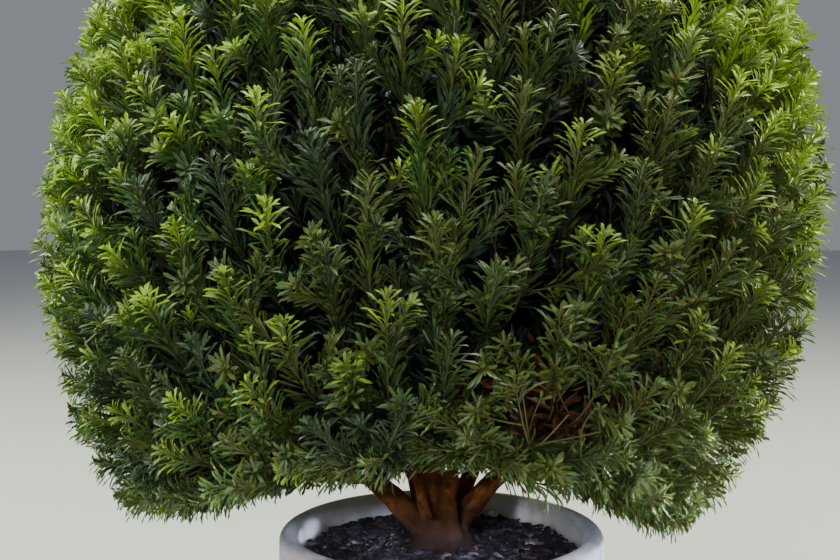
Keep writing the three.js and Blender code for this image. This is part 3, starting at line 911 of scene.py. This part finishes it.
def potProfile():
    low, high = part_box("pot")
    rim = (high.x - low.x) / 2
    height = high.z
    lipRound = (rim - pot["mouthRadius"]) / 2
    lipFoot = height - pot["lipDepth"]
    bandFoot = lipFoot - pot["bandDepth"]
    band = rim - pot["bandStep"]
    base = pot["baseRadius"]
    wall = pot["wall"]
    return [
        (0, 0.004), (base - 0.012, 0.004), (base - 0.010, 0.0), (base - 0.003, 0.0),
        *arc((base - 0.002, 0.003), 0.003, -90, 0, 4),
        (base + 0.001, 0.014), (base - 0.0005, 0.0175), (base - 0.001, 0.0205),
        (base + 0.008, 0.055), (base + 0.019, 0.100), (base + 0.029, 0.145),
        (band - 0.0065, bandFoot - 0.003), (band - 0.0060, bandFoot),
        *arc((band - 0.006, bandFoot + 0.006), 0.006, -80, 0, 6),
        (band + 0.0004, lipFoot - 0.006), (band - 0.0010, lipFoot - 0.0025), (band - 0.0012, lipFoot),
        *arc((rim - 0.008, lipFoot + 0.0085), 0.008, -80, 0, 7),
        (rim, height - 0.018),
        *arc((rim - lipRound, height - lipRound), lipRound, 0, 180, 14),
        (pot["mouthRadius"] + 0.0003, height - 0.022), (pot["mouthRadius"], lipFoot),
        (base - wall + 0.004, 0.06), (0, 0.055),
    ]


def addPot():
    bpy.ops.object.select_all(action="DESELECT")
    profile = potProfile()
    mesh = bpy.data.meshes.new("clayPot")
    mesh.from_pydata([(r, 0, z) for r, z in profile], [(i, i + 1) for i in range(len(profile) - 1)], [])
    vessel = bpy.data.objects.new("clayPot", mesh)
    bpy.context.scene.collection.objects.link(vessel)
    bpy.context.view_layer.objects.active = vessel
    vessel.select_set(True)
    bpy.ops.object.mode_set(mode="EDIT")
    bpy.ops.mesh.select_all(action="SELECT")
    bpy.ops.mesh.spin(steps=pot["steps"], angle=2 * math.pi, center=(0, 0, 0), axis=(0, 0, 1))
    bpy.ops.mesh.select_all(action="SELECT")
    bpy.ops.mesh.remove_doubles(threshold=1e-5)
    bpy.ops.mesh.normals_make_consistent(inside=False)
    bpy.ops.object.mode_set(mode="OBJECT")
    bpy.ops.object.shade_smooth_by_angle(angle=math.radians(40))
    vessel.data.materials.append(clayMaterial())
    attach(vessel, "root")
    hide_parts("pot")
    print("pot:", len(vessel.data.polygons), "faces")


def clayMaterial():
    # Pale clay with lime bloom in patches, fine pores, and stains that run down from the lip
    material = speckledMaterial("clay", (0.48, 0.42, 0.36), (0.63, 0.58, 0.52), 60, 0.5, 0.78, 0.3, 0.0007)
    tree = material.node_tree
    make = nodeMaker(tree)
    link = tree.links.new
    grain = next(n for n in tree.nodes if n.type == "GROUP")
    place = make("ShaderNodeTexCoord")
    bloom = make("ShaderNodeTexNoise", Scale=9.0, Detail=5.0, Roughness=0.65)
    bloomShare = make("ShaderNodeMapRange", **{"From Min": 0.42, "From Max": 0.66, "To Max": 0.75})
    pale = make("ShaderNodeMix", data_type="RGBA")
    pale.inputs[7].default_value = (0.66, 0.67, 0.74, 1)
    tall = make("ShaderNodeMapping", Scale=(1, 1, 0.12))
    streak = make("ShaderNodeTexNoise", Scale=34.0, Detail=4.0, Roughness=0.6)
    streakShare = make("ShaderNodeMapRange", **{"From Min": 0.54, "From Max": 0.78, "To Max": 0.55})
    stained = make("ShaderNodeMix", data_type="RGBA")
    stained.inputs[7].default_value = (0.20, 0.15, 0.11, 1)
    link(place.outputs["Object"], bloom.inputs["Vector"])
    link(bloom.outputs["Fac"], bloomShare.inputs["Value"])
    link(bloomShare.outputs["Result"], pale.inputs[0])
    link(grain.outputs["Colour"], pale.inputs[6])
    link(place.outputs["Object"], tall.inputs["Vector"])
    link(tall.outputs["Vector"], streak.inputs["Vector"])
    link(streak.outputs["Fac"], streakShare.inputs["Value"])
    link(streakShare.outputs["Result"], stained.inputs[0])
    link(pale.outputs[2], stained.inputs[6])
    link(stained.outputs[2], tree.nodes["Principled BSDF"].inputs["Base Color"])
    return material


# Soil under bark chips

soilShape = {"clearance": 0.0006, "slump": 0.006, "edgeDrop": 0.012}
chips = {"count": 3200, "length": (0.004, 0.012), "flatness": 0.36, "clearOfStool": 0.028}
chipTints = [
    # name, darker, lighter, share
    ("chipDark", (0.016, 0.012, 0.016), (0.048, 0.038, 0.048), 0.66),
    ("chipBrown", (0.034, 0.024, 0.025), (0.085, 0.062, 0.062), 0.22),
    ("chipGrey", (0.070, 0.063, 0.076), (0.150, 0.136, 0.155), 0.09),
    ("chipTan", (0.110, 0.080, 0.066), (0.230, 0.180, 0.150), 0.03),
]
pebble = {"place": (0.055, 0.107), "radius": 0.0045, "rise": 0.002}


def compostDisc(radius, top):
    bpy.ops.object.select_all(action="DESELECT")
    bpy.ops.mesh.primitive_circle_add(vertices=96, radius=radius, fill_type="NOTHING", location=(0, 0, 0))
    soil = bpy.context.object
    soil.name = "compost"
    bpy.ops.object.mode_set(mode="EDIT")
    for _ in range(26):
        bpy.ops.mesh.extrude_edges_move()
        bpy.ops.transform.resize(value=(0.9, 0.9, 1))
    bpy.ops.mesh.merge(type="CENTER")
    bpy.ops.object.mode_set(mode="OBJECT")
    count = len(soil.data.vertices)
    place = np.empty(count * 3, np.float32)
    soil.data.vertices.foreach_get("co", place)
    place = place.reshape(-1, 3)
    away = np.hypot(place[:, 0], place[:, 1]) / radius
    place[:, 2] = top - soilShape["slump"] * smoothstep(away, 0.5, 1.0) + 0.001 * rng.normal(0, 1, count)
    place[away > 0.995, 2] = top - soilShape["edgeDrop"]
    soil.data.vertices.foreach_set("co", place.ravel())
    soil.data.update()
    for polygon in soil.data.polygons:
        polygon.use_smooth = True
    dark, light = (0.010, 0.008, 0.010), (0.034, 0.027, 0.033)
    soil.data.materials.append(speckledMaterial("compost", dark, light, 130, 0.5, 0.95, 0.9, 0.003))
    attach(soil, "root")


# Each chip is a flat lump of a few faces, turned and tilted by chance
def barkChips(radius, top):
    bpy.ops.mesh.primitive_ico_sphere_add(subdivisions=1, radius=0.5)
    model = bpy.context.object
    shape = np.array([v.co for v in model.data.vertices])
    shapeFaces = np.array([list(p.vertices) for p in model.data.polygons])
    bpy.data.objects.remove(model)
    number = chips["count"]
    reach = np.sqrt(rng.uniform(chips["clearOfStool"]**2, (radius - 0.006) ** 2, number))
    angle = rng.uniform(0, 2 * np.pi, number)
    length = rng.uniform(*chips["length"], number) * rng.choice([0.6, 1, 1.15], number)
    tones = rng.choice(len(chipTints), number, p=[share for *_, share in chipTints])
    points = []
    for i in range(number):
        lump = np.clip(shape * (1 + 0.24 * rng.normal(0, 1, (len(shape), 1))), -0.62, 0.62)
        lump = lump * length[i] * np.array([1, rng.uniform(0.4, 0.8), chips["flatness"]])
        turned = Matrix.Rotation(rng.uniform(0, 6.28), 3, "Z") @ Matrix.Rotation(rng.normal(0, 0.42), 3, "X")
        centre = np.array([reach[i] * math.cos(angle[i]), reach[i] * math.sin(angle[i]), 0])
        slump = soilShape["slump"] * smoothstep(reach[i] / radius, 0.5, 1.0)
        centre[2] = top - slump + rng.uniform(0.0, 0.0042)
        points.append(lump @ np.array(turned).T + centre)
    faces = shapeFaces[None] + np.arange(number)[:, None, None] * len(shape)
    tints = [shiny(speckledMaterial(name, dark, light, 160, 0.5, 0.85, 0.6, 0.001), 0.15)
             for name, dark, light, _ in chipTints]
    mulch = joinedMesh("barkChips", np.concatenate(points), faces.reshape(-1, 3), tints,
                       np.repeat(tones, len(shapeFaces)), smooth=False)
    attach(mulch, "root")
    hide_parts("soil")
    print("soil:", number, "chips")


def addPebble(top):
    place = (*pebble["place"], top + pebble["rise"])
    bpy.ops.mesh.primitive_ico_sphere_add(subdivisions=3, radius=pebble["radius"], location=place)
    stone = bpy.context.object
    stone.name = "pebble"
    bpy.ops.transform.resize(value=(1.2, 0.9, 0.7))
    bpy.ops.object.transform_apply()
    bpy.ops.object.shade_smooth()
    dark, light = (0.55, 0.53, 0.50), (0.75, 0.74, 0.72)
    stone.data.materials.append(speckledMaterial("paleStone", dark, light, 300, 0.5, 0.5, 0.1, 0.0003))
    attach(stone, "root")


def addSoil():
    low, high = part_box("soil")
    radius = (high.x - low.x) / 2 - soilShape["clearance"]
    compostDisc(radius, high.z)
    barkChips(radius, high.z)
    addPebble(high.z)


addCamera()
addLamps()
addFloor()
addPot()
addSoil()
addWood()
growCrown()
